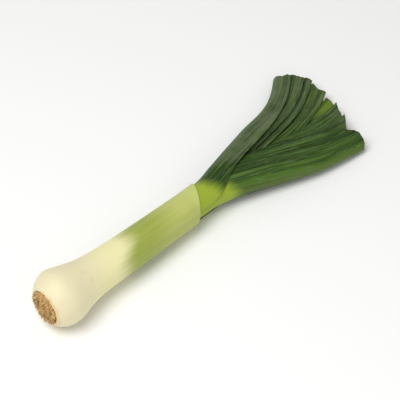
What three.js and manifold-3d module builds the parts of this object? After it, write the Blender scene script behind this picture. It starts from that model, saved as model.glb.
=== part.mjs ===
// A whole leek lying on its side: a root plate with its trimmed roots, a bulb that runs into a long
// pale shaft, and a fan of eight folded leaves cut off at the tips.
// Millimetres. +X runs from the root to the leaf tips, +Y is the left side of the fan, +Z is up, and
// the surface that the leek lies on is Z = 0. While the pieces are made, X = 0 is the root face; at
// the end the whole leek is moved so that the origin is under the middle of its box.
import * as THREE from 'three';
import { mergeVertices } from 'three/addons/utils/BufferGeometryUtils.js';
import Module from 'manifold-3d';

const wasm = await Module();
wasm.setup();

// Clearance between pieces that touch on a real leek
const GAP = 0.3;

// Lie of the leek: height of its middle line at the bulb, its fall towards the fan, the further
// droop of the fan's sides, the arch that keeps the fan's middle higher, and its slight roll
const BULB_CENTRE_X = 16.5;
const BULB_CENTRE_Z = 23.86;
const MIDLINE_FALL = 0.0405;
const SIDE_DROOP = 3.88;
const FAN_ROLL = 0.0145;
const FAN_ARCH = 3.4;

// Seen from above: the bulb stands a little to +Y, the shaft bows to -Y, and the fan's middle
// drifts to -Y and back again
const BULB_DRIFT = 1;
const SHAFT_BOW = -1.3;
const BOW_LENGTH = 230;
const FAN_DRIFT_START_X = 205;
const FAN_DRIFT_LENGTH = 140;
const FAN_DRIFT_OUT = -10.5;
const FAN_DRIFT_BACK = 13;

// The fan's left side is drawn in before its tips turn outwards, and the tips of its right side
// are drawn in too
const SIDE_PINCH = 5;
const PINCH_START_X = 262;
const PINCH_LENGTH = 100;
const TIP_TUCK = 5;

// Shaft: the root face and its lean, the bulb's swelling over the shaft, and the slow taper
const ROOT_FACE_RADIUS = 15.3;
const ROOT_FACE_LEAN = 0.1;
const SHOULDER_POWER = 1.45;
const SHAFT_RADIUS = 15.5;
const SHAFT_TAPER = 2.3;
const TAPER_LENGTH = 150;
const BULB_SWELL = 7.1;
const BULB_REACH = 22;
const BULB_POWER = 1.6;
const CROWN_SOFTNESS = 0.28;
const RECESS_DEPTH = 2.6;
const RECESS_RADIUS = 14;
const SHAFT_SIDES = 36;
const SHAFT_STATIONS = [
  0, 0.5, 1.6, 3.6, 6.4, 9.6, 13, 16.5, 21, 26, 31, 37, 45, 56, 72, 88, 106, 124, 142, 153, 162,
];

// Slow ridges that run along the shaft under its outer sheath
const WIDE_RIDGE = 0.011;
const NARROW_RIDGE = 0.007;

// Mouth of the shaft's outer sheath, a slanting edge round the leaf bases
const MOUTH_X = 170.5;
const MOUTH_SLANT = 10;
const MOUTH_TURN = 0.3;
const MOUTH_FLOOR_X = 159;
const MOUTH_INNER_RADIUS = 14.45;

// Root plate and its trimmed roots
const PLATE_RADIUS = RECESS_RADIUS - GAP;
const PLATE_DOME = 1.8;
const PLATE_SIDES = 30;
const PLATE_BUMP = 0.6;
const ROOT_RINGS = [
  { radius: 2.4, count: 5 },
  { radius: 5.6, count: 10 },
  { radius: 8.7, count: 15 },
  { radius: 11.4, count: 20 },
];
const ROOT_RING_SPREAD = 1;
const ROOT_SIDES = 5;
const ROOT_LENGTH = 1.3;
const ROOT_LENGTH_SPREAD = 1.2;
const ROOT_RADIUS = 0.62;
const ROOT_RADIUS_SPREAD = 0.3;
const ROOT_TIP = 0.72;
const ROOT_SINK = 1.2;
const ROOT_SEED = 41;
const PLATE_SEED = 48;

// Leaves: nested tubes in the sheath, then a fan of folded blades
const LEAF_BASE_X = MOUTH_FLOOR_X + GAP;
const OUTER_LEAF_RADIUS = 13.65;
const SHEATH_PITCH = 1.5;
const UPPER_BLADE_PITCH = 1.25;
const LOWER_BLADE_PITCH = 1.2;
const LEAF_THICKNESS = 0.7;
const FAN_START_X = 181;
const FAN_LENGTH = 160;
const FAN_BEND = 0.09;
const SHEATH_WRAP = 2.85;
const OPENING_LENGTH = 50;

// The outermost leaf's lower flank ends under the others
const OUTER_WRAP = 2.25;

// Grid of a leaf, and where its rows change from the straight sheath to the fan
const KEEL_COLUMNS = 4;
const FLANK_COLUMNS = 6;
const SHEATH_ROWS = 10;
const BLADE_ROWS = 9;
const SHEATH_END_X = 222;

// Stretches along X in which one shape turns into another
const DROOP_STRETCH = [205, 335];
const WAVE_STRETCH = [225, 300];
const SQUEEZE_STRETCH = [235, 305];
const FLATTEN_STRETCH = [195, 305];
const LIFT_STRETCH = [212, 240];
const SETTLE_STRETCH = [262, 304];
const TIP_STRETCH = [265, 345];
const TUCK_STRETCH = [268, 330];

// Slow waves across the fan, the thinning of its sides, and the ripple of the knife's cut
const WAVE_HEIGHT = 0.9;
const WAVES_ACROSS = 2.3;
const WAVE_LENGTH = 310;
const SIDE_SQUEEZE = 0.34;
const CUT_RIPPLE = 1.1;

// How far a nesting level reaches past its neighbour where there is no leaf beyond
const END_LEVEL_STEP = 6;

// From the outermost leaf in: the side its keel lies on, how far the keel spreads at FAN_LENGTH, the
// width of its upper flank where the fan opens and at the tip, the width of its lower flank, where
// its sheath begins to open, where the knife cut it at the keel and at the two margins, how far the
// cut bulges between them, and how far its upper margin stands up
const LEAVES = [
  {
    side: 1, spread: 62, upper: 31, upperTip: 26.5, lower: 28,
    open: 176, keelEnd: 342, upperEnd: 353, lowerEnd: 349, bulge: 0, lift: 2,
  },
  {
    side: -1, spread: 61, upper: 41, upperTip: 31.5, lower: 30,
    open: 183, keelEnd: 331, upperEnd: 328, lowerEnd: 333, bulge: 8, lift: 0.3,
  },
  {
    side: 1, spread: 52, upper: 25.5, upperTip: 29, lower: 28,
    open: 190, keelEnd: 352, upperEnd: 357, lowerEnd: 351, bulge: 0, lift: 0,
  },
  {
    side: -1, spread: 47.5, upper: 30, upperTip: 30, lower: 28,
    open: 197, keelEnd: 320, upperEnd: 345, lowerEnd: 328, bulge: 0, lift: 0,
  },
  {
    side: 1, spread: 38, upper: 20.5, upperTip: 21, lower: 26,
    open: 203, keelEnd: 356, upperEnd: 362, lowerEnd: 351, bulge: 0, lift: 0,
  },
  {
    side: -1, spread: 32, upper: 27, upperTip: 29.5, lower: 26,
    open: 208, keelEnd: 326, upperEnd: 356, lowerEnd: 330, bulge: 0, lift: 0,
  },
  {
    side: 1, spread: 22, upper: 19, upperTip: 19, lower: 21,
    open: 212, keelEnd: 361, upperEnd: 360, lowerEnd: 352, bulge: 0, lift: 0,
  },
  {
    side: -1, spread: 14, upper: 19, upperTip: 20, lower: 17,
    open: 216, keelEnd: 350, upperEnd: 355, lowerEnd: 350, bulge: 0, lift: 0,
  },
];

function blend(from, to, share) {
  return from + (to - from) * share;
}

function smooth(start, end, x) {
  const share = THREE.MathUtils.clamp((x - start) / (end - start), 0, 1);
  return share * share * (3 - 2 * share);
}

// Seeded random numbers from 0 to 1
function randomSource(seed) {
  let state = seed;
  return () => {
    state = (state * 1664525 + 1013904223) % 4294967296;
    return state / 4294967296;
  };
}

// Middle line and fan

function midlineHeight(x) {
  return BULB_CENTRE_Z - MIDLINE_FALL * (x - BULB_CENTRE_X);
}

// How far the fan's left side is drawn in at `place`, from -1 at its right edge to 1 at its left
function sidePinch(x, place) {
  const share = THREE.MathUtils.clamp((x - PINCH_START_X) / PINCH_LENGTH, 0, 1);
  return SIDE_PINCH * Math.sin(Math.PI * share) ** 2 * smooth(0.1, 1, place);
}

// How far the tips on the fan's right side are drawn in
function tipTuck(x, place) {
  return TIP_TUCK * smooth(...TUCK_STRETCH, x) * smooth(0.6, 1, -place);
}

// How far the middle line stands to +Y
function sway(x) {
  const bulb = BULB_DRIFT * (1 - smooth(20, 90, x));
  const bow = SHAFT_BOW * Math.sin(Math.PI * THREE.MathUtils.clamp(x / BOW_LENGTH, 0, 1));
  const share = Math.max(0, (x - FAN_DRIFT_START_X) / FAN_DRIFT_LENGTH);
  return bulb + bow + FAN_DRIFT_OUT * share + FAN_DRIFT_BACK * share ** 4;
}

// The root face isn't square to the shaft: its +Y side stands back
function faceLean(x, y) {
  return ROOT_FACE_LEAN * (y - sway(x)) * (1 - smooth(0, 30, x));
}

// Share of the fan's opening: 0 in the sheath, 1 at FAN_LENGTH
function fanOpening(x) {
  const share = (x - FAN_START_X) / FAN_LENGTH;
  if (share < 0) {
    return 0;
  }
  return (Math.hypot(share, FAN_BEND) - FAN_BEND) / (Math.hypot(1, FAN_BEND) - FAN_BEND);
}

function fanHalfWidth(x) {
  return blend(OUTER_LEAF_RADIUS, LEAVES[0].spread, fanOpening(x));
}

// The whole fan droops, arches and waves together, so no leaf can cross another
function fanPoint(x, across, up) {
  const place = THREE.MathUtils.clamp(across / fanHalfWidth(x), -1.1, 1.1);
  const inFan = smooth(...DROOP_STRETCH, x);
  const squeeze = flankSqueeze(x, place);
  const phase = 2 * Math.PI * (WAVES_ACROSS * place + x / WAVE_LENGTH);
  const wave = WAVE_HEIGHT * smooth(...WAVE_STRETCH, x) * Math.sin(phase);
  const edge = Math.min(1, place * place);
  const arch = FAN_ARCH * (1 - edge) - SIDE_DROOP + FAN_ROLL * across;
  const rise = inFan * arch + wave * (1 - 0.6 * edge);
  const y = across + sway(x) - sidePinch(x, place) + tipTuck(x, place);
  return new THREE.Vector3(x, y, midlineHeight(x) + rise + up * squeeze);
}

// The fan is thinner at its sides, where fewer leaves lie on each other
function flankSqueeze(x, place) {
  return 1 - SIDE_SQUEEZE * smooth(...SQUEEZE_STRETCH, x) * smooth(0.4, 0.95, Math.abs(place));
}

// Leaves

// Reach of nesting level `index` (0 is outermost) towards one side of the fan, at full opening. A
// leaf of the other side lies between its two neighbours there.
function levelReach(index, side) {
  const leaf = LEAVES[index];
  if (leaf.side === side) {
    return leaf.spread;
  }
  const before = index > 0 ? LEAVES[index - 1].spread : leaf.spread + END_LEVEL_STEP;
  const last = index === LEAVES.length - 1;
  const after = last ? leaf.spread - END_LEVEL_STEP : LEAVES[index + 1].spread;
  return (before + after) / 2;
}

// Section of a leaf's nesting level at one x: a round in the sheath, a flat oval in the fan
function levelSection(index, x, flank) {
  const radius = OUTER_LEAF_RADIUS - SHEATH_PITCH * index;
  const pitch = flank > 0 ? UPPER_BLADE_PITCH : LOWER_BLADE_PITCH;
  const bladeHeight = pitch * (LEAVES.length - index);
  const height = blend(radius, bladeHeight, smooth(...FLATTEN_STRETCH, x));
  const opening = fanOpening(x);
  const side = LEAVES[index].side;
  const keelReach = blend(radius, levelReach(index, side), opening);
  const otherReach = blend(radius, levelReach(index, -side), opening);
  return { height, keelReach, otherReach };
}

// Length of a flank from the keel, round the section, to its margin
function flankLength(index, x, flank) {
  const leaf = LEAVES[index];
  const radius = OUTER_LEAF_RADIUS - SHEATH_PITCH * index;
  const wrap = index === 0 && flank < 0 ? OUTER_WRAP : SHEATH_WRAP;
  const upperWidth = blend(leaf.upper, leaf.upperTip, smooth(...TIP_STRETCH, x));
  const bladeWidth = flank > 0 ? upperWidth : leaf.lower;
  return blend(wrap * radius, bladeWidth, smooth(leaf.open, leaf.open + OPENING_LENGTH, x));
}

// A point of a leaf: `column` counts from the keel to the margin, `flank` is +1 for the upper one,
// and `offset` moves off the leaf's middle surface
function leafPoint(index, x, column, flank, offset) {
  const leaf = LEAVES[index];
  const { height, keelReach, otherReach } = levelSection(index, x, flank);
  const squeeze = flankSqueeze(x, keelReach / fanHalfWidth(x));
  const away = offset / squeeze;
  const keelArc = 0.5 * Math.PI * height;
  const flat = keelReach + otherReach - 2 * height;
  let inward;
  let up;
  let share = 0;
  if (column <= KEEL_COLUMNS) {
    const angle = 0.5 * Math.PI * column / KEEL_COLUMNS;
    inward = height - (height + away) * Math.cos(angle);
    up = (height + away) * Math.sin(angle);
  } else {
    share = (column - KEEL_COLUMNS) / FLANK_COLUMNS;
    const along = (flankLength(index, x, flank) - keelArc) * share;
    const angle = Math.max(0, along - flat) / height;
    inward = height + Math.min(along, flat) + (height + away) * Math.sin(angle);
    up = (height + away) * Math.cos(angle);
  }
  if (flank > 0) {
    const standing = smooth(...LIFT_STRETCH, x) - smooth(...SETTLE_STRETCH, x);
    up += leaf.lift * share ** 2 * standing;
  }
  return fanPoint(x, leaf.side * (keelReach - inward), flank * up);
}

// Where a row of a leaf crosses one column: the last row is the knife's cut, and the first rows
// keep to the straight sheath
function rowX(index, row, column, flank) {
  const leaf = LEAVES[index];
  if (row <= SHEATH_ROWS) {
    return blend(LEAF_BASE_X, SHEATH_END_X, row / SHEATH_ROWS);
  }
  const marginEnd = flank > 0 ? leaf.upperEnd : leaf.lowerEnd;
  const share = column / (KEEL_COLUMNS + FLANK_COLUMNS);
  const ripple = CUT_RIPPLE * Math.sin(7 * share + 2.1 * index);
  const end = blend(leaf.keelEnd, marginEnd, share) + (ripple + leaf.bulge) * Math.sin(Math.PI * share);
  return blend(SHEATH_END_X, end, (row - SHEATH_ROWS) / BLADE_ROWS);
}

// A leaf is two faces of one grid, stitched together round the border. Both faces are split into
// triangles alike.
function leafGeometry(index) {
  const columns = KEEL_COLUMNS + FLANK_COLUMNS;
  const rows = SHEATH_ROWS + BLADE_ROWS;
  const width = 2 * columns + 1;
  const positions = [];
  for (const offset of [LEAF_THICKNESS / 2, -LEAF_THICKNESS / 2]) {
    for (let row = 0; row <= rows; row += 1) {
      for (let step = -columns; step <= columns; step += 1) {
        const column = Math.abs(step);
        const flank = step < 0 ? -1 : 1;
        const point = leafPoint(index, rowX(index, row, column, flank), column, flank, offset);
        positions.push(point.x, point.y, Math.max(0, point.z));
      }
    }
  }
  const inner = width * (rows + 1);
  const faces = [];
  const quad = (a, b, c, d) => faces.push(a, b, c, a, c, d);
  for (let row = 0; row < rows; row += 1) {
    for (let step = 0; step < width - 1; step += 1) {
      const corner = row * width + step;
      const corners = [corner, corner + width, corner + width + 1, corner + 1];
      quad(...corners);
      const [a, b, c, d] = corners.map((vertex) => vertex + inner);
      faces.push(a, c, b, a, d, c);
    }
  }
  for (let row = 0; row < rows; row += 1) {
    const first = row * width;
    const last = first + width - 1;
    quad(first, first + inner, first + width + inner, first + width);
    quad(last, last + width, last + width + inner, last + inner);
  }
  for (let step = 0; step < width - 1; step += 1) {
    const base = step;
    const tip = rows * width + step;
    quad(base, base + 1, base + 1 + inner, base + inner);
    quad(tip, tip + inner, tip + 1 + inner, tip + 1);
  }
  // The grid's turning sense follows the side that the keel lies on
  if (LEAVES[index].side > 0) {
    for (let face = 0; face < faces.length; face += 3) {
      [faces[face + 1], faces[face + 2]] = [faces[face + 2], faces[face + 1]];
    }
  }
  return closedGeometry(positions, faces);
}

// Shaft

// A power of `share` from 0 to 1, rounded off at 0
function softPower(share, power) {
  const raised = (value) => (value * value + CROWN_SOFTNESS ** 2) ** (power / 2);
  return (raised(share) - raised(0)) / (raised(1) - raised(0));
}

function shaftRadius(x) {
  const taper = SHAFT_RADIUS + SHAFT_TAPER * Math.max(0, 1 - x / TAPER_LENGTH);
  if (x >= BULB_CENTRE_X) {
    return taper + BULB_SWELL * Math.exp(-softPower((x - BULB_CENTRE_X) / BULB_REACH, BULB_POWER));
  }
  const full = shaftRadius(BULB_CENTRE_X);
  const share = (BULB_CENTRE_X - x) / BULB_CENTRE_X;
  const shoulder = Math.max(0, 1 - softPower(share, SHOULDER_POWER)) ** (1 / SHOULDER_POWER);
  return ROOT_FACE_RADIUS + (full - ROOT_FACE_RADIUS) * shoulder;
}

// The shaft isn't quite round
function shaftRoundness(x, angle) {
  const wide = WIDE_RIDGE * Math.sin(2 * angle + 0.8 + x / 90);
  const narrow = NARROW_RIDGE * Math.sin(5 * angle - x / 70);
  return 1 + (wide + narrow) * smooth(0, 30, x) * (1 - smooth(150, 170, x));
}

// The mouth's edge slants: it reaches further on one side
function mouthSlant(angle, x, outside) {
  const outer = smooth(MOUTH_FLOOR_X - 45, MOUTH_X, x);
  const inner = outside ? 1 : smooth(MOUTH_FLOOR_X, MOUTH_X, x);
  return MOUTH_SLANT * Math.cos(angle - MOUTH_TURN) * outer * inner;
}

function shaftGeometry() {
  const rings = [{ x: RECESS_DEPTH, radius: RECESS_RADIUS, outside: false }];
  for (const x of [...SHAFT_STATIONS, MOUTH_X]) {
    rings.push({ x, radius: shaftRadius(x), outside: true });
  }
  for (const x of [MOUTH_X, 166, MOUTH_FLOOR_X]) {
    rings.push({ x, radius: MOUTH_INNER_RADIUS, outside: false });
  }
  const positions = [];
  for (const { x, radius, outside } of rings) {
    for (let side = 0; side < SHAFT_SIDES; side += 1) {
      const angle = 2 * Math.PI * (side + 0.5) / SHAFT_SIDES;
      const slanted = x + mouthSlant(angle, x, outside);
      const reach = radius * (outside ? shaftRoundness(x, angle) : 1);
      const y = sway(slanted) + reach * Math.cos(angle) * fanHalfWidth(slanted) / OUTER_LEAF_RADIUS;
      const up = midlineHeight(slanted) + reach * Math.sin(angle);
      positions.push(slanted + faceLean(x, y), y, Math.max(0, up));
    }
  }
  positions.push(RECESS_DEPTH, sway(RECESS_DEPTH), midlineHeight(RECESS_DEPTH));
  positions.push(MOUTH_FLOOR_X, sway(MOUTH_FLOOR_X), midlineHeight(MOUTH_FLOOR_X));
  return closedGeometry(positions, ringFaces(rings.length, SHAFT_SIDES));
}

// Faces of a stack of rings along X, closed by a fan of triangles at each end. The two end points
// follow the rings in the list of positions.
function ringFaces(ringCount, sides) {
  const faces = [];
  const firstCentre = ringCount * sides;
  const lastRing = (ringCount - 1) * sides;
  for (let side = 0; side < sides; side += 1) {
    const next = (side + 1) % sides;
    for (let ring = 0; ring < ringCount - 1; ring += 1) {
      const here = ring * sides;
      const there = here + sides;
      faces.push(here + side, there + next, there + side);
      faces.push(here + side, here + next, there + next);
    }
    faces.push(firstCentre, next, side);
    faces.push(firstCentre + 1, lastRing + side, lastRing + next);
  }
  return faces;
}

// Root plate

function plateGeometry() {
  const backX = RECESS_DEPTH - GAP;
  const rings = [
    { x: -PLATE_DOME, radius: 0.35 },
    { x: -0.82 * PLATE_DOME, radius: 0.68 },
    { x: -0.3 * PLATE_DOME, radius: 0.93 },
    { x: 0.3 * PLATE_DOME, radius: 1 },
    { x: backX, radius: 0.99 },
  ];
  const random = randomSource(PLATE_SEED);
  const positions = [];
  for (const { x, radius } of rings) {
    for (let side = 0; side < PLATE_SIDES; side += 1) {
      const angle = 2 * Math.PI * side / PLATE_SIDES;
      const bump = x < 0 ? PLATE_BUMP * (random() - 0.5) : 0;
      const reach = PLATE_RADIUS * radius;
      const y = sway(0) + reach * Math.cos(angle);
      positions.push(x + bump + faceLean(0, y), y, midlineHeight(0) + reach * Math.sin(angle));
    }
  }
  positions.push(-PLATE_DOME - 0.2, sway(0), midlineHeight(0));
  positions.push(backX, sway(0), midlineHeight(0));
  return closedGeometry(positions, ringFaces(rings.length, PLATE_SIDES));
}

// One trimmed root: a short tapering stub that starts inside the plate and leans outwards
function rootGeometry(angle, radius, random) {
  const length = ROOT_LENGTH + ROOT_LENGTH_SPREAD * random() + ROOT_SINK;
  const thickness = ROOT_RADIUS + ROOT_RADIUS_SPREAD * random();
  const stub = new THREE.CylinderGeometry(ROOT_TIP * thickness, thickness, length, ROOT_SIDES, 1);
  stub.deleteAttribute('uv');
  stub.translate(0, length / 2 - ROOT_SINK, 0);
  // The stub's own +Y turns to point away from the plate, along -X, and then leans
  stub.rotateZ(Math.PI / 2);
  const lean = 0.1 + 0.045 * radius + 0.35 * (random() - 0.5);
  stub.rotateY(lean);
  stub.rotateX(-angle);
  const dome = -PLATE_DOME * Math.sqrt(Math.max(0.05, 1 - (radius / PLATE_RADIUS) ** 2)) + 0.4;
  const y = sway(0) + radius * Math.cos(angle);
  stub.translate(dome + faceLean(0, y), y, midlineHeight(0) + radius * Math.sin(angle));
  return stub;
}

function rootPlateGeometry() {
  const random = randomSource(ROOT_SEED);
  let solid = solidFrom(plateGeometry());
  for (const { radius, count } of ROOT_RINGS) {
    for (let item = 0; item < count; item += 1) {
      const angle = 2 * Math.PI * (item + 0.6 * random()) / count;
      const reach = radius + ROOT_RING_SPREAD * (random() - 0.5);
      solid = solid.add(solidFrom(rootGeometry(angle, reach, random)));
    }
  }
  return geometryFrom(solid);
}

// Geometry helpers

function closedGeometry(positions, faces) {
  const geometry = new THREE.BufferGeometry();
  geometry.setAttribute('position', new THREE.Float32BufferAttribute(positions, 3));
  geometry.setIndex(faces);
  geometry.computeVertexNormals();
  return geometry;
}

function solidFrom(geometry) {
  const bare = geometry.clone();
  bare.deleteAttribute('normal');
  const merged = mergeVertices(bare, 1e-4);
  return new wasm.Manifold(new wasm.Mesh({
    numProp: 3,
    vertProperties: new Float32Array(merged.attributes.position.array),
    triVerts: new Uint32Array(merged.index.array),
  }));
}

function geometryFrom(solid) {
  const mesh = solid.getMesh();
  return closedGeometry(Array.from(mesh.vertProperties), Array.from(mesh.triVerts));
}

function namedMesh(name, geometry, color, roughness) {
  const material = new THREE.MeshStandardMaterial({ color, roughness, metalness: 0 });
  const mesh = new THREE.Mesh(geometry, material);
  mesh.name = name;
  return mesh;
}

// Assembly

const ROOT_COLOUR = 0xc3a06a;
const SHAFT_COLOUR = 0xeee6c0;
const OUTER_LEAF_COLOUR = 0x4f6e3c;
const INNER_LEAF_COLOUR = 0x3c5828;

const leek = new THREE.Group();
leek.add(namedMesh('root_plate', rootPlateGeometry(), ROOT_COLOUR, 0.9));
leek.add(namedMesh('shaft', shaftGeometry(), SHAFT_COLOUR, 0.45));
LEAVES.forEach((leaf, index) => {
  const colour = index < 2 ? OUTER_LEAF_COLOUR : INNER_LEAF_COLOUR;
  leek.add(namedMesh(`leaf_${index + 1}`, leafGeometry(index), colour, 0.5));
});

// The origin goes under the middle of the leek's box
const box = new THREE.Box3().setFromObject(leek);
leek.position.set(-(box.min.x + box.max.x) / 2, -(box.min.y + box.max.y) / 2, -box.min.z);

export default leek;
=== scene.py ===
"""The looks of a whole leek that lies on its side.

Lengths in the constants are millimetres along the leek, with X = 0 at the root face. The meshes are
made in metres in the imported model's frame.
"""

import math
import random

import bpy
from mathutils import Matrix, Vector, noise


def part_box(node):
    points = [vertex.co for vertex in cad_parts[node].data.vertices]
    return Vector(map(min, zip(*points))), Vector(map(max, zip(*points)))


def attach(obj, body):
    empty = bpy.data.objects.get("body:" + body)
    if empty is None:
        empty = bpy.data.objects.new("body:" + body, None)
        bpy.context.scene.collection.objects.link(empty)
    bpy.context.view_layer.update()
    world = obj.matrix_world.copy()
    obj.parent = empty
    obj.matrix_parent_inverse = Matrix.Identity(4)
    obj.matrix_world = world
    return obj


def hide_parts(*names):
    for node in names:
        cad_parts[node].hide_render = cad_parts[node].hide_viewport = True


bl_info = {
    "name": "Leek",
    "version": (1, 0, 0),
    "blender": (4, 5, 0),
    "location": "View3D > Sidebar > Leek",
    "description": "Builds a leek with trimmed roots, a pale shaft and a fan of cut leaves",
    "category": "Add Mesh",
}

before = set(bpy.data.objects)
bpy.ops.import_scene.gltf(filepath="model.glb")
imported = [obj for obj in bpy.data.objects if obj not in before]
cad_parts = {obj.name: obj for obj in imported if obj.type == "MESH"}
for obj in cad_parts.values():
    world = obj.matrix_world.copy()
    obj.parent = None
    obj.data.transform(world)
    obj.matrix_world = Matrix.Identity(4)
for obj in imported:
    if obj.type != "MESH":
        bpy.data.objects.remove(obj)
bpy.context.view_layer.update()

MM = 0.001

# Lie of the leek
BULB_CENTRE_X = 16.5
BULB_CENTRE_Z = 23.86
MIDLINE_FALL = 0.0405
SIDE_DROOP = 3.88
FAN_ROLL = 0.0145
FAN_ARCH = 3.4
BULB_DRIFT = 1
SHAFT_BOW = -1.3
BOW_LENGTH = 230
FAN_DRIFT_START_X = 205
FAN_DRIFT_LENGTH = 140
FAN_DRIFT_OUT = -10.5
FAN_DRIFT_BACK = 13
SIDE_PINCH = 5
PINCH_START_X = 262
PINCH_LENGTH = 100
TIP_TUCK = 5
PLEATS_ACROSS = 8.3
FINE_PLEATS_ACROSS = 17.1

# Shaft
ROOT_FACE_RADIUS = 15.3
ROOT_FACE_LEAN = 0.1
SHOULDER_POWER = 1.45
SHAFT_RADIUS = 15.5
SHAFT_TAPER = 2.3
TAPER_LENGTH = 150
BULB_SWELL = 7.1
BULB_REACH = 22
BULB_POWER = 1.6
CROWN_SOFTNESS = 0.28
RECESS_DEPTH = 2.6
RECESS_RADIUS = 14
WIDE_RIDGE = 0.011
NARROW_RIDGE = 0.007
MOUTH_X = 170.5
MOUTH_SLANT = 10
MOUTH_TURN = 0.3
MOUTH_FLOOR_X = 159
MOUTH_MIDDLE_X = 166
MOUTH_INNER_RADIUS = 14.45
MOUTH_LIP = 0.3
SHOULDER_RINGS = 16
SHAFT_RINGS = 130
SHAFT_SIDES = 160

# Root plate and its trimmed roots
PLATE_RADIUS = 13.7
PLATE_DOME = 1.8
PLATE_ROUGHNESS = 0.5
PLATE_SIDES = 96
ROOT_SEED = 41
ROOT_FIELD_RADIUS = 12.1
ROOT_SUNK = 0.8
ROOT_RINGS = 5
ROOT_SIDES = 7
RIM_ROOTS = 46
RIM_ROOT_RADII = (12.7, 13.3)

# Leaves
LEAF_BASE_X = 159.3
OUTER_LEAF_RADIUS = 13.65
SHEATH_PITCH = 1.5
UPPER_BLADE_PITCH = 1.25
LOWER_BLADE_PITCH = 1.2
FAN_START_X = 181
FAN_LENGTH = 160
FAN_BEND = 0.09
SHEATH_WRAP = 2.85
OUTER_WRAP = 2.25
OPENING_LENGTH = 50
KEEL_STEPS = 9
FLANK_STEPS = 20
LEAF_ROWS = 120
MAP_UNIT = 100

# Stretches along X in which one shape turns into another
BULB_DRIFT_STRETCH = (20, 90)
PLEAT_STRETCH = (205, 262)
DROOP_STRETCH = (205, 335)
WAVE_STRETCH = (225, 300)
SQUEEZE_STRETCH = (235, 305)
FLATTEN_STRETCH = (195, 305)
LIFT_STRETCH = (212, 240)
SETTLE_STRETCH = (262, 304)
TUCK_STRETCH = (268, 330)
TIP_STRETCH = (265, 345)

# Slow waves across the fan, the thinning of its sides, the ripple of a margin that stands up, and
# the ripple and the small teeth of the knife's cut
WAVE_HEIGHT = 0.9
WAVES_ACROSS = 2.3
WAVE_LENGTH = 310
SIDE_SQUEEZE = 0.34
MARGIN_RIPPLE = 0.22
CUT_RIPPLE = 1.1
TOOTH_DEPTH = 0.3
END_LEVEL_STEP = 6

# From the outermost leaf in: the side its keel lies on, how far the keel spreads, the width of its
# upper flank where the fan opens and at the tip, the width of its lower flank, where its sheath
# opens, where it is cut at the keel and at both margins, how far the cut bulges between them, and how
# far its upper margin stands up
LEAVES = [
    dict(side=1, spread=62, upper=31, upper_tip=26.5, lower=28, open=176, keel_end=342, upper_end=353,
         lower_end=349, bulge=0, lift=2),
    dict(side=-1, spread=61, upper=41, upper_tip=31.5, lower=30, open=183, keel_end=331, upper_end=328,
         lower_end=333, bulge=8, lift=0.3),
    dict(side=1, spread=52, upper=25.5, upper_tip=29, lower=28, open=190, keel_end=352, upper_end=357,
         lower_end=351, bulge=0, lift=0),
    dict(side=-1, spread=47.5, upper=30, upper_tip=30, lower=28, open=197, keel_end=320,
         upper_end=345, lower_end=328, bulge=0, lift=0),
    dict(side=1, spread=38, upper=20.5, upper_tip=21, lower=26, open=203, keel_end=356, upper_end=362,
         lower_end=351, bulge=0, lift=0),
    dict(side=-1, spread=32, upper=27, upper_tip=29.5, lower=26, open=208, keel_end=326,
         upper_end=356, lower_end=330, bulge=0, lift=0),
    dict(side=1, spread=22, upper=19, upper_tip=19, lower=21, open=212, keel_end=361, upper_end=360,
         lower_end=352, bulge=0, lift=0),
    dict(side=-1, spread=14, upper=19, upper_tip=20, lower=17, open=216, keel_end=350, upper_end=355,
         lower_end=350, bulge=0, lift=0),
]

# Look of each leaf: where its green begins and how that edge slants, its waxy bloom along the blade
# and at the tip, its bluish sheen painted in as a highlight, how light and olive it is along its fold,
# and how yellow-green its tip is
LEAF_LOOKS = [
    dict(green_from=170, slant=-0.4, bloom=0.85, tip_bloom=0.0, painted_sheen=0.1, fold=0.25, tip_light=0.0),
    dict(green_from=199, slant=0.5, bloom=0.05, tip_bloom=0.0, painted_sheen=0.12, fold=1.0, tip_light=0.0),
    dict(green_from=196, slant=0.0, bloom=0.5, tip_bloom=0.0, painted_sheen=0.2, fold=0.2, tip_light=0.0),
    dict(green_from=200, slant=0.0, bloom=0.1, tip_bloom=0.5, painted_sheen=0.12, fold=0.0, tip_light=0.0),
    dict(green_from=204, slant=0.0, bloom=0.35, tip_bloom=0.1, painted_sheen=0.5, fold=0.1, tip_light=0.0),
    dict(green_from=208, slant=0.0, bloom=0.1, tip_bloom=0.35, painted_sheen=0.1, fold=0.0, tip_light=0.0),
    dict(green_from=210, slant=0.0, bloom=0.15, tip_bloom=0.1, painted_sheen=0.3, fold=0.2, tip_light=0.1),
    dict(green_from=214, slant=0.0, bloom=0.0, tip_bloom=0.0, painted_sheen=0.0, fold=0.3, tip_light=0.3),
]

# Kinds of a leaf's faces, in the order of its materials
BLADE_FACE = 0
CUT_FACE = 1
MARGIN_FACE = 2

# Camera of the photograph: where it looks, from which side, and how long its lens is
CAMERA_TARGET = (179.3, 0.9, 15.0)
CAMERA_AZIMUTH = -46.6
CAMERA_ELEVATION = 45.0
CAMERA_DISTANCE = 1500.0
CAMERA_LENS = 159.0

# Floor and lights in metres and watts
FLOOR_HALF_WIDTH = 4.0
FLOOR_GAP = 0.0002
WORLD_LIGHT = 0.42
LIGHT_SIZE = 1.2
LIGHTS = (("key", (-0.75, 0.0, 1.55), 19), ("fill", (-0.6, -1.2, 1.0), 3))


def from_screen(code):
    """Linear colour of a screen colour written as 0xRRGGBB."""
    parts = [((code >> shift) & 255) / 255 for shift in (16, 8, 0)]
    return tuple(c / 12.92 if c <= 0.04045 else ((c + 0.055) / 1.055) ** 2.4 for c in parts)


def colour_property(name, code, description):
    return bpy.props.FloatVectorProperty(
        name=name, description=description, default=from_screen(code), subtype="COLOR", min=0, max=1)


def length_property(name, millimetres, description):
    return bpy.props.FloatProperty(
        name=name, description=description, default=millimetres * MM, unit="LENGTH", min=0)


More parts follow.
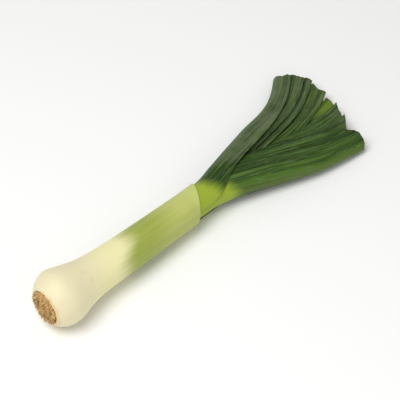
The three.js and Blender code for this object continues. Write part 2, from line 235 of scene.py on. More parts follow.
class LeekSizes(bpy.types.PropertyGroup):
    leaf_thickness: length_property("Leaf thickness", 0.7, "Thickness of each leaf")
    pleat_depth: length_property("Pleat depth", 0.22, "Depth of the fine pleats along the fan")
    root_length: length_property("Root length", 1.6, "Middle length of the trimmed roots")
    root_thickness: length_property("Root thickness", 1.15, "Thickness of a root where it grows out")
    root_count: bpy.props.IntProperty(
        name="Roots", description="Number of trimmed roots", default=170, min=1, max=400)


class LeekColours(bpy.types.PropertyGroup):
    bulb: colour_property("Bulb", 0xEBE1BA, "White of the bulb")
    bulb_blush: colour_property("Bulb blush", 0xE6C493, "Warm blotches on the bulb")
    shaft_cream: colour_property("Shaft cream", 0xF0EAB2, "Cream above the bulb")
    shaft_green: colour_property("Shaft green", 0x9EAA46, "Green band of the shaft")
    shaft_pale: colour_property("Shaft pale green", 0xC0C66E, "Pale green below the leaves")
    shaft_rim: colour_property("Shaft rim", 0xC8D478, "Light edge of the shaft's mouth")
    leaf_base: colour_property("Leaf base", 0x9DB038, "Yellow-green of a leaf's base")
    leaf_dark: colour_property("Leaf dark", 0x1C310C, "Dark streaks of a leaf")
    leaf_bright: colour_property("Leaf bright", 0x4E6F26, "Bright streaks of a leaf")
    leaf_olive: colour_property("Leaf olive", 0x62702E, "Olive along the fold of a leaf")
    leaf_bloom: colour_property("Waxy bloom", 0x687352, "Grey-green bloom on a leaf")
    # Painted highlight: a bluish sheen put into a leaf's colour
    leaf_painted_sheen: colour_property("Leaf sheen", 0x5A7458, "Bluish sheen on a leaf")
    leaf_pale_streak: colour_property("Leaf scratch", 0x9EA680, "Thin pale streaks of a leaf")
    leaf_cut: colour_property("Leaf cut", 0x74843A, "Cut edge of a leaf")
    # Painted shade: near-black for the thin sides of the leaves, standing for the shadow along their
    # margins
    leaf_margin_shade: colour_property("Leaf margin", 0x1A280C, "Dark thin side of a leaf")
    root: colour_property("Roots", 0xE2BE84, "Tan of the trimmed roots")
    root_dark: colour_property("Root shade", 0x8C6836, "Dark specks among the roots")
    floor: colour_property("Floor", 0xFAFAF8, "Plain pale floor")


def sizes():
    return bpy.context.scene.leek_sizes


def colours():
    return bpy.context.scene.leek_colours


# Shape of the leek

def blend(start, end, share):
    return start + (end - start) * share


def clamp(value, low=0.0, high=1.0):
    return max(low, min(high, value))


def smooth(start, end, x):
    share = clamp((x - start) / (end - start))
    return share * share * (3 - 2 * share)


def midline_height(x):
    return BULB_CENTRE_Z - MIDLINE_FALL * (x - BULB_CENTRE_X)


def sway(x):
    """How far the middle line stands to +Y."""
    bulb = BULB_DRIFT * (1 - smooth(*BULB_DRIFT_STRETCH, x))
    bow = SHAFT_BOW * math.sin(math.pi * clamp(x / BOW_LENGTH))
    share = max(0.0, (x - FAN_DRIFT_START_X) / FAN_DRIFT_LENGTH)
    return bulb + bow + FAN_DRIFT_OUT * share + FAN_DRIFT_BACK * share ** 4


def face_lean(x, y):
    """The root face isn't square to the shaft: its +Y side stands back."""
    return ROOT_FACE_LEAN * (y - sway(x)) * (1 - smooth(0, 30, x))


def side_pinch(x, place):
    """How far the fan's left side is drawn in before its tips turn outwards."""
    share = clamp((x - PINCH_START_X) / PINCH_LENGTH)
    return SIDE_PINCH * math.sin(math.pi * share) ** 2 * smooth(0.1, 1, place)


def tip_tuck(x, place):
    """How far the tips on the fan's right side are drawn in."""
    return TIP_TUCK * smooth(*TUCK_STRETCH, x) * smooth(0.6, 1, -place)


def fan_opening(x):
    """Share of the fan's opening: 0 in the sheath, 1 at its full length."""
    share = (x - FAN_START_X) / FAN_LENGTH
    if share < 0:
        return 0.0
    return (math.hypot(share, FAN_BEND) - FAN_BEND) / (math.hypot(1, FAN_BEND) - FAN_BEND)


def fan_half_width(x):
    return blend(OUTER_LEAF_RADIUS, LEAVES[0]["spread"], fan_opening(x))


def flank_squeeze(x, place):
    """The fan is thinner at its sides, where fewer leaves lie on each other."""
    return 1 - SIDE_SQUEEZE * smooth(*SQUEEZE_STRETCH, x) * smooth(0.4, 0.95, abs(place))


def pleats(x, place):
    """Fine pleats that run out along the fan, in shares of the pleat depth."""
    drift = 0.5 * math.sin(x / 41 + 5 * place)
    wide = math.sin(2 * math.pi * (PLEATS_ACROSS * place + drift))
    fine = 0.6 * math.sin(2 * math.pi * (FINE_PLEATS_ACROSS * place - drift))
    return (wide + fine) * smooth(*PLEAT_STRETCH, x) * (1 - 0.5 * smooth(0.85, 1.0, abs(place)))


def fan_point(x, across, up):
    """The whole fan droops, arches, waves and pleats together, so no leaf crosses another."""
    place = clamp(across / fan_half_width(x), -1.1, 1.1)
    in_fan = smooth(*DROOP_STRETCH, x)
    phase = 2 * math.pi * (WAVES_ACROSS * place + x / WAVE_LENGTH)
    wave = WAVE_HEIGHT * smooth(*WAVE_STRETCH, x) * math.sin(phase)
    edge = min(1.0, place * place)
    arch = FAN_ARCH * (1 - edge) - SIDE_DROOP + FAN_ROLL * across
    rise = in_fan * arch + wave * (1 - 0.6 * edge) + sizes().pleat_depth / MM * pleats(x, place)
    y = across + sway(x) - side_pinch(x, place) + tip_tuck(x, place)
    return x, y, midline_height(x) + rise + up * flank_squeeze(x, place)


def level_reach(index, side):
    """Reach of a nesting level towards one side of the fan, at full opening."""
    leaf = LEAVES[index]
    if leaf["side"] == side:
        return leaf["spread"]
    before = LEAVES[index - 1]["spread"] if index > 0 else leaf["spread"] + END_LEVEL_STEP
    last = index == len(LEAVES) - 1
    after = leaf["spread"] - END_LEVEL_STEP if last else LEAVES[index + 1]["spread"]
    return (before + after) / 2


def level_section(index, x, flank):
    """Height and reaches of a nesting level: a round in the sheath, a flat oval in the fan."""
    radius = OUTER_LEAF_RADIUS - SHEATH_PITCH * index
    pitch = UPPER_BLADE_PITCH if flank > 0 else LOWER_BLADE_PITCH
    height = blend(radius, pitch * (len(LEAVES) - index), smooth(*FLATTEN_STRETCH, x))
    opening = fan_opening(x)
    side = LEAVES[index]["side"]
    keel_reach = blend(radius, level_reach(index, side), opening)
    other_reach = blend(radius, level_reach(index, -side), opening)
    return height, keel_reach, other_reach


def flank_length(index, x, flank):
    leaf = LEAVES[index]
    radius = OUTER_LEAF_RADIUS - SHEATH_PITCH * index
    wrap = OUTER_WRAP if index == 0 and flank < 0 else SHEATH_WRAP
    upper = blend(leaf["upper"], leaf["upper_tip"], smooth(*TIP_STRETCH, x))
    width = upper if flank > 0 else leaf["lower"]
    return blend(wrap * radius, width, smooth(leaf["open"], leaf["open"] + OPENING_LENGTH, x))


def leaf_point(index, x, step, flank, offset):
    """A point of a leaf and its distance from the keel along the section."""
    leaf = LEAVES[index]
    height, keel_reach, other_reach = level_section(index, x, flank)
    away = offset / flank_squeeze(x, keel_reach / fan_half_width(x))
    keel_arc = 0.5 * math.pi * height
    flat = keel_reach + other_reach - 2 * height
    share = 0.0
    if step <= KEEL_STEPS:
        angle = 0.5 * math.pi * step / KEEL_STEPS
        inward = height - (height + away) * math.cos(angle)
        up = (height + away) * math.sin(angle)
        distance = height * angle
    else:
        share = (step - KEEL_STEPS) / FLANK_STEPS
        along = (flank_length(index, x, flank) - keel_arc) * share
        angle = max(0.0, along - flat) / height
        inward = height + min(along, flat) + (height + away) * math.sin(angle)
        up = (height + away) * math.cos(angle)
        distance = keel_arc + along
    if flank > 0:
        ripple = 1 + MARGIN_RIPPLE * math.sin(x / 11 + 3 * index)
        standing = smooth(*LIFT_STRETCH, x) - smooth(*SETTLE_STRETCH, x)
        up += leaf["lift"] * ripple * share ** 2 * standing
    return fan_point(x, leaf["side"] * (keel_reach - inward), flank * up), distance


def leaf_end(index, step, flank):
    """Where the knife cut the leaf, with the small teeth that a cut across veins has."""
    leaf = LEAVES[index]
    margin_end = leaf["upper_end"] if flank > 0 else leaf["lower_end"]
    share = step / (KEEL_STEPS + FLANK_STEPS)
    ripple = (CUT_RIPPLE * math.sin(7 * share + 2.1 * index) + leaf["bulge"]) * math.sin(math.pi * share)
    teeth = TOOTH_DEPTH * noise.noise(Vector((31 * share, 5.3 * index, flank)))
    return blend(leaf["keel_end"], margin_end, share) + ripple + teeth


def soft_power(share, power):
    """A power of a share from 0 to 1, rounded off at 0."""
    def raised(value):
        return (value * value + CROWN_SOFTNESS ** 2) ** (power / 2)
    return (raised(share) - raised(0)) / (raised(1) - raised(0))


def shaft_radius(x):
    taper = SHAFT_RADIUS + SHAFT_TAPER * max(0.0, 1 - x / TAPER_LENGTH)
    if x >= BULB_CENTRE_X:
        return taper + BULB_SWELL * math.exp(-soft_power((x - BULB_CENTRE_X) / BULB_REACH, BULB_POWER))
    full = shaft_radius(BULB_CENTRE_X)
    share = (BULB_CENTRE_X - x) / BULB_CENTRE_X
    shoulder = max(0.0, 1 - soft_power(share, SHOULDER_POWER)) ** (1 / SHOULDER_POWER)
    return ROOT_FACE_RADIUS + (full - ROOT_FACE_RADIUS) * shoulder


def shaft_roundness(x, angle):
    wide = WIDE_RIDGE * math.sin(2 * angle + 0.8 + x / 90)
    narrow = NARROW_RIDGE * math.sin(5 * angle - x / 70)
    return 1 + (wide + narrow) * smooth(0, 30, x) * (1 - smooth(150, 170, x))


def mouth_slant(angle, x, outside):
    """The mouth's edge slants: it reaches further on one side."""
    outer = smooth(MOUTH_FLOOR_X - 45, MOUTH_X, x)
    inner = 1 if outside else smooth(MOUTH_FLOOR_X, MOUTH_X, x)
    return MOUTH_SLANT * math.cos(angle - MOUTH_TURN) * outer * inner


# Mesh helpers

# Place of X = 0 and Y = 0 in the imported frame, from the first leaf's base and the root plate
PLATE_LOW, PLATE_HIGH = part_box("root_plate")
START_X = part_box("leaf_1")[0].x / MM - LEAF_BASE_X
MIDDLE_Y = (PLATE_LOW.y + PLATE_HIGH.y) / 2 / MM - sway(0)


def to_frame(point):
    """A point in millimetres from the root face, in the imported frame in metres."""
    return (point[0] + START_X) * MM, (point[1] + MIDDLE_Y) * MM, point[2] * MM


def mesh_piece(name, points, faces, materials, node, uvs=None, face_materials=None):
    """A shaded mesh that stands for a CAD node and rides on the leek."""
    mesh = bpy.data.meshes.new(name)
    mesh.from_pydata([to_frame(point) for point in points], [], faces)
    mesh.validate()
    for material in materials:
        mesh.materials.append(material)
    if face_materials:
        mesh.polygons.foreach_set("material_index", face_materials)
    if uvs:
        layer = mesh.uv_layers.new(name="along_leaf")
        for loop in mesh.loops:
            layer.data[loop.index].uv = uvs[loop.vertex_index]
    mesh.polygons.foreach_set("use_smooth", [True] * len(mesh.polygons))
    mesh.update()
    piece = bpy.data.objects.new(name, mesh)
    bpy.context.scene.collection.objects.link(piece)
    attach(piece, "root")
    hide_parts(node)


def band_faces(first, ring_count, sides):
    """Quads between the rings of a stack, whose first point has the number `first`."""
    faces = []
    for ring in range(ring_count - 1):
        here = first + ring * sides
        for side in range(sides):
            after = (side + 1) % sides
            faces.append((here + side, here + after, here + sides + after, here + sides + side))
    return faces


def ring_faces(ring_count, sides):
    """Quads of a stack of rings along X, with a fan of triangles at each end."""
    faces = band_faces(0, ring_count, sides)
    first_centre = ring_count * sides
    last = (ring_count - 1) * sides
    for side in range(sides):
        after = (side + 1) % sides
        faces.append((first_centre, after, side))
        faces.append((first_centre + 1, last + side, last + after))
    return faces


# Shader helpers

class Value:
    """A socket of a node tree. An expression on it adds its Math nodes."""

    def __init__(self, tree, socket):
        self.tree = tree
        self.socket = socket

    def node(self, kind, settings=None, sockets=None, output=0):
        """Adds a node: its settings first, then the values or links of its sockets."""
        made = self.tree.nodes.new(kind)
        for name, setting in (settings or {}).items():
            setattr(made, name, setting)
        for name, value in (sockets or {}).items():
            if isinstance(value, Value):
                self.tree.links.new(value.socket, made.inputs[name])
            else:
                made.inputs[name].default_value = value
        return Value(self.tree, made.outputs[output]) if made.outputs else made

    def math(self, operation, first, second=0.0):
        return self.node("ShaderNodeMath", {"operation": operation}, {0: first, 1: second})

    def __add__(self, other):
        return self.math("ADD", self, other)

    def __radd__(self, other):
        return self.math("ADD", other, self)

    def __sub__(self, other):
        return self.math("SUBTRACT", self, other)

    def __rsub__(self, other):
        return self.math("SUBTRACT", other, self)

    def __mul__(self, other):
        return self.math("MULTIPLY", self, other)

    def __rmul__(self, other):
        return self.math("MULTIPLY", other, self)

    def __truediv__(self, other):
        return self.math("DIVIDE", self, other)

    def part(self, index):
        """One coordinate of this vector: 0 for X, 1 for Y, 2 for Z."""
        return self.node("ShaderNodeSeparateXYZ", None, {"Vector": self}, output=index)

    def between(self, low, high):
        """0 below `low`, 1 above `high`, smooth between."""
        return self.node("ShaderNodeMapRange", {"interpolation_type": "SMOOTHSTEP"},
                         {"Value": self, "From Min": low, "From Max": high})

    def mix(self, first, second):
        """Colour `first` where this value is 0 and `second` where it is 1."""
        return self.node("ShaderNodeMix", {"data_type": "RGBA"},
                         {"Factor": self, 6: solid(first), 7: solid(second)}, output=2)

    def noise(self, stretch, scale, detail=3.0, roughness=0.55, offset=(0, 0, 0)):
        """Noise over this vector, stretched by three factors."""
        placed = self.node("ShaderNodeVectorMath", {"operation": "MULTIPLY_ADD"},
                           {0: self, 1: stretch, 2: offset})
        return self.node("ShaderNodeTexNoise", None,
                         {"Vector": placed, "Scale": scale, "Detail": detail, "Roughness": roughness})


def solid(colour):
    """A colour as a socket takes it, with full alpha."""
    return colour if isinstance(colour, Value) else (*tuple(colour)[:3], 1.0)


def new_material(name):
    """An empty material and a value to start its expressions from."""
    material = bpy.data.materials.new(name)
    material.use_nodes = True
    material.node_tree.nodes.clear()
    return material, Value(material.node_tree, None)


def close_material(start, colour, roughness, height, bump_distance, constants):
    """Principled surface whose colour, roughness and bump vary, with the rest constant."""
    bump = start.node("ShaderNodeBump", None,
                      {"Strength": 1.0, "Distance": bump_distance, "Height": height})
    surface = start.node("ShaderNodeBsdfPrincipled", None,
                         {"Base Color": colour, "Roughness": roughness, "Normal": bump, **constants})
    start.node("ShaderNodeOutputMaterial", None, {"Surface": surface})


def object_place(start):
    """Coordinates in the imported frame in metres."""
    return start.node("ShaderNodeTexCoord", output=3)


# Materials

def leaf_material(index):
    """Dark and bright streaks, under a leaf's bloom, painted sheen highlights and thin pale streaks."""
    look = LEAF_LOOKS[index]
    tint = colours()
    material, start = new_material(f"leaf_blade_{index + 1}")
    grid = start.node("ShaderNodeUVMap", {"uv_map": "along_leaf"})
    across = grid.part(0) * MAP_UNIT
    along = grid.part(1) * MAP_UNIT
    apart = across.math("ABSOLUTE", across)
    seed = (7.0 * index, 3.0 * index, 0.0)
    streaks = grid.noise((60, 1.6, 1), 1.0, 4.0, 0.6, seed)
    bands = grid.noise((14, 1.2, 1), 1.0, 3.0, 0.55, seed)
    patches = grid.noise((5, 4, 1), 1.0, 4.0, 0.6, seed)
    veins = grid.noise((150, 0.6, 1), 1.0, 2.0, 0.5, seed)
    pale_streak_noise = grid.noise((120, 6, 1), 1.0, 2.0, 0.5, seed)

    fold = look["fold"] * (1 - apart.between(4, 24))
    light = 0.45 * streaks + 0.25 * bands + 0.3 * veins + 0.08 * fold
    blade = light.between(0.43, 0.63).mix(tint.leaf_dark, tint.leaf_bright)
    crease = 0.5 * look["fold"] * (1 - apart.between(1, 7))
    blade = crease.mix(blade, tint.leaf_olive)
    # Painted highlight: patches of bluish sheen mixed into the blade's colour
    painted_sheen = look["painted_sheen"] * bands.between(0.5, 0.68)
    blade = painted_sheen.mix(blade, tint.leaf_painted_sheen)
    waxed = (along - 0.9 * apart).between(190, 210) * look["bloom"]
    waxed = waxed * patches.between(0.22, 0.6) + along.between(322, 350) * look["tip_bloom"]
    wax = waxed * (0.45 + 0.55 * streaks.between(0.36, 0.6))
    blade = wax.mix(blade, tint.leaf_bloom)
    thin = 0.4 * pale_streak_noise.between(0.62, 0.72)
    blade = thin.mix(blade, tint.leaf_pale_streak)
    reach = along + look["slant"] * apart + 10 * (streaks - 0.5) + 8 * (bands - 0.5)
    green = reach.between(look["green_from"], look["green_from"] + 16)
    lime = look["tip_light"] * along.between(316, 346) * (0.3 + 0.7 * light.between(0.46, 0.56))
    green = green * (1 - lime)
    colour = green.mix(tint.leaf_base, blade)

    roughness = 0.36 + 0.16 * patches + 0.18 * wax
    height = 0.5 * veins + 0.35 * streaks + 0.15 * patches
    close_material(start, colour, roughness, height, 0.00035, {
        "Specular IOR Level": 0.2, "Subsurface Weight": 0.06, "Subsurface Scale": 0.002,
        "Subsurface Radius": (0.4, 1.0, 0.2)})
    return material


def leaf_margin_shade_material():
    """The thin sides of a leaf, painted near-black as the shade in the narrow gap along its margins."""
    tint = colours()
    material, start = new_material("leaf_margin_shade")
    place = object_place(start)
    grain = place.noise((300, 300, 300), 1.0, 3.0)
    colour = (0.5 * grain).mix(tint.leaf_margin_shade, tint.leaf_dark)
    close_material(start, colour, 0.6 + 0.1 * grain, grain, 0.0001, {"Specular IOR Level": 0.2})
    return material


def leaf_cut_material():
    """The pale edge where the knife cut a leaf."""
    tint = colours()
    material, start = new_material("leaf_cut_edge")
    place = object_place(start)
    grain = place.noise((400, 900, 900), 1.0, 3.0)
    colour = grain.between(0.35, 0.7).mix(tint.leaf_cut, tint.leaf_bright)
    close_material(start, colour, 0.5 + 0.2 * grain, grain, 0.0002, {"Specular IOR Level": 0.4})
    return material


def shaft_material():
    """White bulb, cream, green band and pale green in turn, with fine veins along the shaft."""
    tint = colours()
    material, start = new_material("bulb_and_shaft")
    place = object_place(start)
    along = place.part(0) / MM - START_X
    side = place.part(1) - MIDDLE_Y * MM
    up = place.part(2) - (BULB_CENTRE_Z + MIDLINE_FALL * BULB_CENTRE_X - MIDLINE_FALL * along) * MM
    radial = start.node("ShaderNodeCombineXYZ", None, {"Y": side, "Z": up})
    around = radial.node("ShaderNodeVectorMath", {"operation": "NORMALIZE"}, {0: radial})
    drift = start.node("ShaderNodeCombineXYZ", None, {"X": along / 100})
    path = around.node("ShaderNodeVectorMath", {"operation": "ADD"}, {0: around, 1: drift})
    veins = path.noise((1.1, 26, 26), 1.0, 3.0, 0.55)
    streaks = path.noise((1.6, 7, 7), 1.0, 4.0, 0.6)
    blotches = path.noise((9, 4, 4), 1.0, 4.0, 0.6)

    # On the -Y side the green starts nearer the bulb and stays stronger
    toward = 0 - around.part(1)
    reach = along + 16 * toward.between(0.35, 1.0) + 10 * (streaks - 0.5) + 4 * (veins - 0.5)
    colour = reach.between(35, 75).mix(tint.bulb, tint.shaft_cream)
    colour = reach.between(78, 104).mix(colour, tint.shaft_green)
    colour = reach.between(114, 154).mix(colour, tint.shaft_pale)
    shade = 0.45 * toward.between(0.45, 1.0) * reach.between(90, 120)
    colour = shade.mix(colour, tint.shaft_green)
    colour = (0.6 * along.between(158, 168)).mix(colour, tint.shaft_rim)
    pale_veins = veins.between(0.5, 0.72) * 0.2 * reach.between(80, 110)
    colour = pale_veins.mix(colour, tint.shaft_cream)
    low = 1 - along.between(10, 75)
    blush = blotches.between(0.55, 0.75) * 0.45 * low
    colour = blush.mix(colour, tint.bulb_blush)
    stain = along + 6 * (streaks - 0.5) + 4 * (blotches - 0.5)
    colour = (0.6 * (1 - stain.between(-1.0, 1.6))).mix(colour, tint.root)

    roughness = 0.34 + 0.2 * blotches
    height = 0.6 * veins + 0.4 * streaks
    close_material(start, colour, roughness, height, 0.0004, {
        "Specular IOR Level": 0.45, "Subsurface Weight": 0.12, "Subsurface Scale": 0.004,
        "Subsurface Radius": (1.0, 0.8, 0.4)})
    return material


def root_material():
    """Tan root tissue with dark specks."""
    tint = colours()
    material, start = new_material("trimmed_roots")
    place = object_place(start)
    coarse = place.noise((1, 1, 1), 260.0, 3.0)
    fine = place.noise((0.5, 1, 1), 1500.0, 3.0)
    colour = (0.6 * coarse + 0.4 * fine).between(0.36, 0.58).mix(tint.root_dark, tint.root)
    colour = fine.between(0.6, 0.75).mix(colour, tint.bulb_blush)
    close_material(start, colour, 0.75 + 0.2 * fine, 0.5 * coarse + 0.5 * fine, 0.0006, {
        "Specular IOR Level": 0.25})
    return material


# Pieces

def build_shaft():
    """The bulb and the shaft up to its slanting mouth, in one closed piece."""
    outer = [BULB_CENTRE_X * (1 - math.cos(0.5 * math.pi * step / SHOULDER_RINGS))
             for step in range(SHOULDER_RINGS)]
    outer += [blend(BULB_CENTRE_X, MOUTH_X, step / SHAFT_RINGS) for step in range(SHAFT_RINGS + 1)]
    rings = [(RECESS_DEPTH, RECESS_RADIUS, False)]
    rings += [(x, shaft_radius(x), True) for x in outer]
    rings.append((MOUTH_X + MOUTH_LIP, (shaft_radius(MOUTH_X) + MOUTH_INNER_RADIUS) / 2, True))
    rings += [(x, MOUTH_INNER_RADIUS, False) for x in (MOUTH_X, MOUTH_MIDDLE_X, MOUTH_FLOOR_X)]
    points = []
    for x, radius, outside in rings:
        for side in range(SHAFT_SIDES):
            angle = 2 * math.pi * (side + 0.5) / SHAFT_SIDES
            slanted = x + mouth_slant(angle, x, outside)
            reach = radius * (shaft_roundness(x, angle) if outside else 1)
            y = sway(slanted) + reach * math.cos(angle) * fan_half_width(slanted) / OUTER_LEAF_RADIUS
            up = midline_height(slanted) + reach * math.sin(angle)
            points.append((slanted + face_lean(x, y), y, max(0.0, up)))
    points.append((RECESS_DEPTH, sway(RECESS_DEPTH), midline_height(RECESS_DEPTH)))
    points.append((MOUTH_FLOOR_X, sway(MOUTH_FLOOR_X), midline_height(MOUTH_FLOOR_X)))
    faces = [tuple(reversed(face)) for face in ring_faces(len(rings), SHAFT_SIDES)]
    mesh_piece("bulb_and_shaft", points, faces, [shaft_material()], "shaft")


def plate_dome(radius):
    """How far the plate's face stands out, as a place along X."""
    return -PLATE_DOME * math.sqrt(max(0.05, 1 - (radius / PLATE_RADIUS) ** 2))


def root_stub(points, faces, angle, radius, source):
    """One trimmed root: a bent tapering stub with a blunt cut end."""
    length = sizes().root_length / MM * source.uniform(0.55, 1.35)
    thick = 0.5 * sizes().root_thickness / MM * source.uniform(0.7, 1.25)
    lean = 0.1 + 0.045 * radius + source.uniform(-0.25, 0.25)
    twist = source.uniform(-0.5, 0.5)
    bend = source.uniform(-0.35, 0.35)
    foot_y = radius * math.cos(angle)
    foot_x = plate_dome(radius) + ROOT_FACE_LEAN * foot_y + ROOT_SUNK
    foot = Vector((foot_x, foot_y, radius * math.sin(angle)))
    out = Vector((0, math.cos(angle + twist), math.sin(angle + twist)))
    first = len(points)
    for ring in range(ROOT_RINGS):
        share = ring / (ROOT_RINGS - 1)
        turn = lean + bend * share
        direction = Vector((-math.cos(turn), 0, 0)) + out * math.sin(turn)
        centre = foot + direction * (length + ROOT_SUNK) * share
        one = direction.cross(Vector((0, 0.3, 1))).normalized()
        two = direction.cross(one).normalized()
        wide = thick * (1 - 0.3 * share)
        for side in range(ROOT_SIDES):
            round_angle = 2 * math.pi * side / ROOT_SIDES
            rough = wide * (1 + source.uniform(-0.1, 0.1))
            place = centre + one * (rough * math.cos(round_angle)) + two * (rough * math.sin(round_angle))
            points.append((place.x, place.y + sway(0), place.z + midline_height(0)))
    faces += band_faces(first, ROOT_RINGS, ROOT_SIDES)
    last = first + (ROOT_RINGS - 1) * ROOT_SIDES
    faces.append(tuple(last + side for side in range(ROOT_SIDES)))


def build_roots():
    """The domed plate and its trimmed roots, in one piece."""
    back = RECESS_DEPTH - 0.3
    source = random.Random(ROOT_SEED)
    points = []
    profile = [(share * PLATE_RADIUS, plate_dome(share * PLATE_RADIUS)) for share in
               (0.06, 0.15, 0.25, 0.35, 0.45, 0.55, 0.65, 0.74, 0.82, 0.89, 0.95, 0.985)]
    profile += [(PLATE_RADIUS, 0.3), (PLATE_RADIUS, back)]
    for radius, x in profile:
        for side in range(PLATE_SIDES):
            angle = 2 * math.pi * side / PLATE_SIDES
            y = radius * math.cos(angle)
            z = radius * math.sin(angle)
            bump = PLATE_ROUGHNESS * noise.noise(Vector((y / 1.3, z / 1.3, 2.0))) if x < 0.3 else 0.0
            points.append((x + bump + ROOT_FACE_LEAN * y, y + sway(0), z + midline_height(0)))
    points.append((plate_dome(0), sway(0), midline_height(0)))
    points.append((back, sway(0), midline_height(0)))
    faces = [tuple(reversed(face)) for face in ring_faces(len(profile), PLATE_SIDES)]
    count = sizes().root_count
    for item in range(count):
        radius = ROOT_FIELD_RADIUS * math.sqrt((item + 0.5) / count)
        angle = item * math.pi * (3 - math.sqrt(5)) + source.uniform(-0.12, 0.12)
        root_stub(points, faces, angle, radius, source)
    for item in range(RIM_ROOTS):
        angle = 2 * math.pi * (item + source.uniform(-0.3, 0.3)) / RIM_ROOTS
        root_stub(points, faces, angle, source.uniform(*RIM_ROOT_RADII), source)
    mesh_piece("root_plate_and_roots", points, faces, [root_material()], "root_plate")


def build_leaf(index, cut, margin_shade):
    """A leaf: two faces of one grid, stitched together round the border."""
    leaf = LEAVES[index]
    steps = KEEL_STEPS + FLANK_STEPS
    width = 2 * steps + 1
    thickness = sizes().leaf_thickness / MM
    points = []
    uvs = []
    for offset in (thickness / 2, -thickness / 2):
        for row in range(LEAF_ROWS + 1):
            for signed in range(-steps, steps + 1):
                step = abs(signed)
                flank = -1 if signed < 0 else 1
                x = blend(LEAF_BASE_X, leaf_end(index, step, flank), row / LEAF_ROWS)
                point, distance = leaf_point(index, x, step, flank, offset)
                points.append((point[0], point[1], max(0.0, point[2])))
                uvs.append((flank * distance / MAP_UNIT, x / MAP_UNIT))
    inner = width * (LEAF_ROWS + 1)
    faces = []
    kinds = []
    for row in range(LEAF_ROWS):
        for step in range(width - 1):
            corner = row * width + step
            quad = (corner, corner + width, corner + width + 1, corner + 1)
            faces.append(quad)
            faces.append(tuple(inner + vertex for vertex in reversed(quad)))
            kinds += [BLADE_FACE, BLADE_FACE]
        first = row * width
        last = first + width - 1
        # The thin sides along both margins take the material with painted shade
        faces.append((first, first + inner, first + width + inner, first + width))
        faces.append((last, last + width, last + width + inner, last + inner))
        kinds += [MARGIN_FACE, MARGIN_FACE]
    for step in range(width - 1):
        tip = LEAF_ROWS * width + step
        faces.append((step, step + 1, step + 1 + inner, step + inner))
        faces.append((tip, tip + inner, tip + 1 + inner, tip + 1))
        kinds += [CUT_FACE, CUT_FACE]
    if leaf["side"] > 0:
        faces = [tuple(reversed(face)) for face in faces]
    materials = [leaf_material(index), cut, margin_shade]
    mesh_piece(f"leaf_blade_{index + 1}", points, faces, materials, f"leaf_{index + 1}", uvs, kinds)


# Stage

def area_light(name, place, power):
    """A round soft light that shines at the leek."""
    light = bpy.data.lights.new(name, "AREA")
    light.shape = "DISK"
    light.size = LIGHT_SIZE
    light.energy = power
    lamp = bpy.data.objects.new(name, light)
    bpy.context.scene.collection.objects.link(lamp)
    lamp.location = place
    lamp.rotation_euler = (Vector((0, 0, 0)) - Vector(place)).to_track_quat("-Z", "Y").to_euler()


def build_stage():
    """The pale floor, the soft lights and the camera."""
    scene = bpy.context.scene
    material, start = new_material("pale_floor")
    place = object_place(start)
    grain = place.noise((1, 1, 1), 900.0, 2.0)
    close_material(start, grain.mix(colours().floor, (1, 1, 1)), 0.9 + 0.05 * grain, grain, 0.00001, {
        "Specular IOR Level": 0.1})
    mesh = bpy.data.meshes.new("floor")
    half = FLOOR_HALF_WIDTH
    corners = [(-half, -half, 0), (half, -half, 0), (half, half, 0), (-half, half, 0)]
    mesh.from_pydata(corners, [], [(0, 1, 2, 3)])
    mesh.materials.append(material)
    floor = bpy.data.objects.new("floor", mesh)
    scene.collection.objects.link(floor)
    floor.location.z = -FLOOR_GAP

    world = bpy.data.worlds.new("studio")
    world.use_nodes = True
    world.node_tree.nodes["Background"].inputs["Color"].default_value = (1, 1, 1, 1)
    world.node_tree.nodes["Background"].inputs["Strength"].default_value = WORLD_LIGHT
    scene.world = world
    for name, lamp_place, power in LIGHTS:
        area_light(name, lamp_place, power)
    scene.view_settings.view_transform = "Standard"
    scene.view_settings.look = "None"

    data = bpy.data.cameras.new("photo_camera")
    data.sensor_width = 36
    data.lens = CAMERA_LENS
    data.clip_start = 0.05
    camera = bpy.data.objects.new("photo_camera", data)
    scene.collection.objects.link(camera)
    azimuth = math.radians(CAMERA_AZIMUTH)
    elevation = math.radians(CAMERA_ELEVATION)
    back = Vector((math.sin(azimuth) * math.cos(elevation), -math.cos(azimuth) * math.cos(elevation),
                   math.sin(elevation)))
    camera.location = Vector(to_frame(CAMERA_TARGET)) + back * CAMERA_DISTANCE * MM
    camera.rotation_euler = (-back).to_track_quat("-Z", "Y").to_euler()
    scene.camera = camera


# Operators and panel

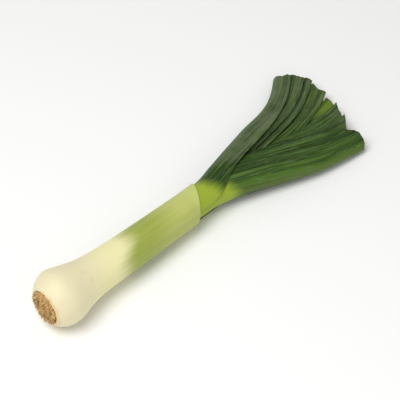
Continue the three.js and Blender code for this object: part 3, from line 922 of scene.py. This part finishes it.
class LEEK_OT_stage(bpy.types.Operator):
    """Adds the floor, the lights and the camera"""
    bl_idname = "leek.stage"
    bl_label = "Stage"

    def execute(self, context):
        build_stage()
        return {"FINISHED"}


class LEEK_OT_roots(bpy.types.Operator):
    """Adds the root plate with its trimmed roots"""
    bl_idname = "leek.roots"
    bl_label = "Root plate and roots"

    def execute(self, context):
        build_roots()
        return {"FINISHED"}


class LEEK_OT_shaft(bpy.types.Operator):
    """Adds the bulb and the shaft"""
    bl_idname = "leek.shaft"
    bl_label = "Bulb and shaft"

    def execute(self, context):
        build_shaft()
        return {"FINISHED"}


class LEEK_OT_leaves(bpy.types.Operator):
    """Adds the eight leaves of the fan"""
    bl_idname = "leek.leaves"
    bl_label = "Leaves"

    def execute(self, context):
        cut = leaf_cut_material()
        margin_shade = leaf_margin_shade_material()
        for index in range(len(LEAVES)):
            build_leaf(index, cut, margin_shade)
        return {"FINISHED"}


class LEEK_PT_panel(bpy.types.Panel):
    """Sizes, colours and pieces of the leek"""
    bl_idname = "LEEK_PT_panel"
    bl_label = "Leek"
    bl_space_type = "VIEW_3D"
    bl_region_type = "UI"
    bl_category = "Leek"

    def draw(self, context):
        for group in (context.scene.leek_sizes, context.scene.leek_colours):
            for name in group.__annotations__:
                self.layout.prop(group, name)
        for operator in PIECE_OPERATORS:
            self.layout.operator(operator.bl_idname)


PIECE_OPERATORS = (LEEK_OT_stage, LEEK_OT_roots, LEEK_OT_shaft, LEEK_OT_leaves)
CLASSES = (LeekSizes, LeekColours, *PIECE_OPERATORS, LEEK_PT_panel)


def register():
    for item in CLASSES:
        bpy.utils.register_class(item)
    bpy.types.Scene.leek_sizes = bpy.props.PointerProperty(type=LeekSizes)
    bpy.types.Scene.leek_colours = bpy.props.PointerProperty(type=LeekColours)


def unregister():
    del bpy.types.Scene.leek_colours
    del bpy.types.Scene.leek_sizes
    for item in reversed(CLASSES):
        bpy.utils.unregister_class(item)


def main():
    register()
    bpy.ops.leek.stage()
    bpy.ops.leek.roots()
    bpy.ops.leek.shaft()
    bpy.ops.leek.leaves()


if __name__ == "__main__":
    main()
